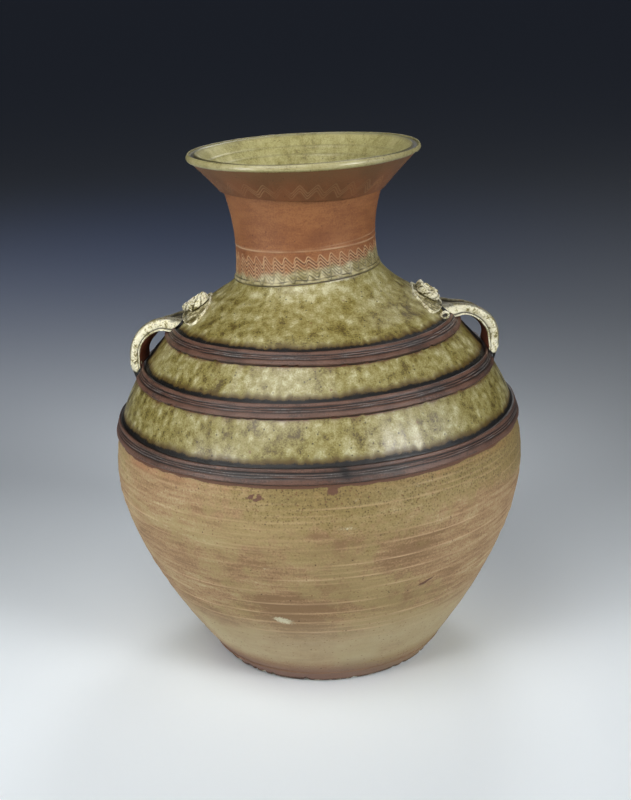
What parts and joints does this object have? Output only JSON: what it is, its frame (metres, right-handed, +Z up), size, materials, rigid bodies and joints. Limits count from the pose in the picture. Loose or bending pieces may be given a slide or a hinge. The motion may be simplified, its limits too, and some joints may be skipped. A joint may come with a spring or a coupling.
{
  "type": "stoneware jar",
  "caption": "Wide-bellied stoneware storage jar with a flared mouth, waisted neck, ridged shoulder bands, strap loop handles and rolled scrolls; ash glaze over bare clay.",
  "frame": {"origin": "centre of the flat base, on the surface that the jar stands on", "axes": "+Z up along the jar's axis, +X towards the right-hand handle, -Y towards the viewer; the handle loops open along Y"},
  "size_m": [0.288, 0.288, 0.36],
  "materials": {
    "bare_clay": "bare stoneware, tan to orange-brown, matt with fine throwing lines",
    "ash_glaze": "mottled olive and yellow-green ash glaze, satin to glossy",
    "neck_clay": "orange-brown bare stoneware with a dull sheen",
    "mouth_glaze": "olive ash glaze inside and on the lip, bare brown clay under the flare",
    "iron_slip": "purple-brown iron-rich clay with dark grooves and a dull sheen",
    "handle_glaze": "pale olive ash glaze over red-brown clay"
  },
  "bodies": {
    "root": {"base_disc": "bare_clay", "lower_wall": "bare_clay", "shoulder_wall": "ash_glaze", "neck_collar": "neck_clay", "mouth_flare": "mouth_glaze", "lower_band": "iron_slip", "middle_band": "iron_slip", "upper_band": "iron_slip", "right_handle": "handle_glaze", "left_handle": "handle_glaze", "right_scroll": "handle_glaze", "left_scroll": "handle_glaze"}
  },
  "joints": []
}
